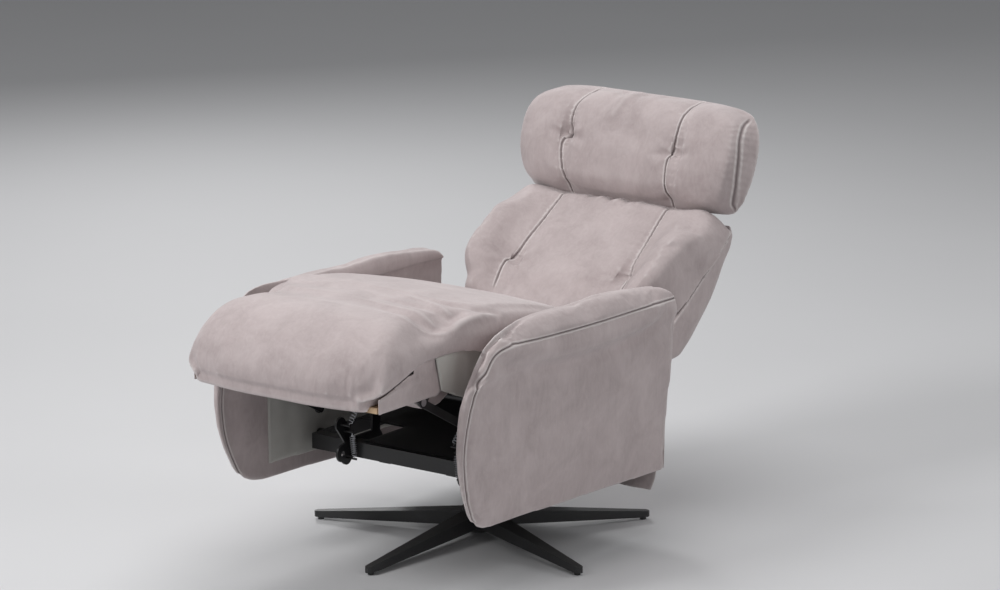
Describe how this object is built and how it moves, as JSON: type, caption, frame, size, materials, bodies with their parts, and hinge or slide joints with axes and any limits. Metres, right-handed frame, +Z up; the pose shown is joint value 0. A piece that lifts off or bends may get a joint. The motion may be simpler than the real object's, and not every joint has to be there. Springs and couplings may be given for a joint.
{
  "type": "star base swivel recliner",
  "caption": "Upholstered recliner with padded arms, folding legrest, reclining back and tilting head cushion, turning on a black star base",
  "frame": {"origin": "on the floor, under the swivel axis at the centre of the star base", "axes": "+Z up; the front of the chair and its legrest face -Y; +X is the left of someone sitting in it"},
  "size_m": [0.7439, 1.4076, 0.8883],
  "materials": {
    "microfibre": "short nap, soft and matte, lighter along the seams",
    "lining_cloth": "thin light grey lining cloth",
    "webbing": "black elastic webbing",
    "black_steel": "black paint, satin",
    "star_paint": "black powder coat, satin",
    "zinc_steel": "bright zinc plate",
    "nylon": "natural nylon",
    "black_plastic": "black moulded glide",
    "plywood": "raw plywood, hidden under the cover"
  },
  "bodies": {
    "base": {"star_base": "star_paint", "floor_glides": "black_plastic", "swivel_post": "black_steel", "thrust_ring": "nylon"},
    "chassis": {"swivel_plate": "black_steel", "swivel_nut": "zinc_steel", "mid_rails": "black_steel", "cross_rail_front": "black_steel", "cross_rail_rear": "black_steel", "side_plate_left": "black_steel", "side_plate_right": "black_steel", "front_bracket_left": "black_steel", "front_bracket_right": "black_steel", "arm_spacers": "black_steel", "arm_panel_left": "microfibre", "arm_panel_right": "microfibre", "arm_pad_left": "microfibre", "arm_pad_right": "microfibre", "arm_lining_left": "lining_cloth", "arm_lining_right": "lining_cloth", "rear_apron": "microfibre", "recline_bolts": "zinc_steel", "latch_spring_left": "zinc_steel", "latch_spring_right": "zinc_steel", "lift_spring_left": "zinc_steel", "lift_spring_right": "zinc_steel"},
    "seat": {"seat_rail_left": "black_steel", "seat_rail_right": "black_steel", "seat_tubes": "black_steel", "seat_straps": "webbing", "seat_cushion": "microfibre", "seat_lining_left": "lining_cloth", "seat_lining_right": "lining_cloth", "legrest_pins": "zinc_steel"},
    "crank": {"crank_shaft": "black_steel", "slot_bushes": "nylon"},
    "push_links": {"push_links": "black_steel"},
    "legrest": {"legrest_bracket_left": "black_steel", "legrest_bracket_right": "black_steel", "legrest_board": "plywood", "legrest_pad": "microfibre", "legrest_wrap_left": "microfibre", "legrest_wrap_right": "microfibre", "link_pins": "zinc_steel"},
    "back": {"back_frame": "black_steel", "back_straps": "webbing", "back_hinge_left": "black_steel", "back_hinge_right": "black_steel", "back_cushion": "microfibre", "back_shell": "microfibre"},
    "head": {"head_board": "plywood", "head_leaf_left": "black_steel", "head_leaf_right": "black_steel", "head_cushion": "microfibre", "head_rear_pad": "microfibre", "neck_pins": "zinc_steel"}
  },
  "joints": [
    {"name": "swivel", "type": "hinge", "parent": "base", "child": "chassis", "pos_m": [0, 0, 0.186], "axis": [0, 0, 1], "continuous": true},
    {"name": "legrest_fold", "type": "hinge", "parent": "seat", "child": "legrest", "pos_m": [0, -0.45, 0.515], "axis": [1, 0, 0], "range_deg": [0, 81]},
    {"name": "seat_tilt", "type": "hinge", "parent": "chassis", "child": "seat", "pos_m": [0, 0.24, 0.4], "axis": [1, 0, 0], "range_deg": [0, 9]},
    {"name": "crank_turn", "type": "hinge", "parent": "seat", "child": "crank", "pos_m": [0, -0.2, 0.372], "axis": [1, 0, 0], "range_deg": [0, 81], "deforming": ["lift_spring_left", "lift_spring_right"]},
    {"name": "push_link_swing", "type": "hinge", "parent": "crank", "child": "push_links", "pos_m": [0, -0.25115, 0.30412], "axis": [1, 0, 0], "range_deg": [-81, 0]},
    {"name": "back_recline", "type": "hinge", "parent": "chassis", "child": "back", "pos_m": [0, 0.24, 0.4], "axis": [1, 0, 0], "range_deg": [0, 36]},
    {"name": "head_tilt", "type": "hinge", "parent": "back", "child": "head", "pos_m": [0, 0.58002, 0.63504], "axis": [1, 0, 0], "range_deg": [-30, 0]}
  ],
  "couplings": [
    {"joint": "seat_tilt", "follows": "legrest_fold", "ratio": 0.11111},
    {"joint": "crank_turn", "follows": "legrest_fold", "ratio": 1},
    {"joint": "push_link_swing", "follows": "legrest_fold", "ratio": -1}
  ]
}
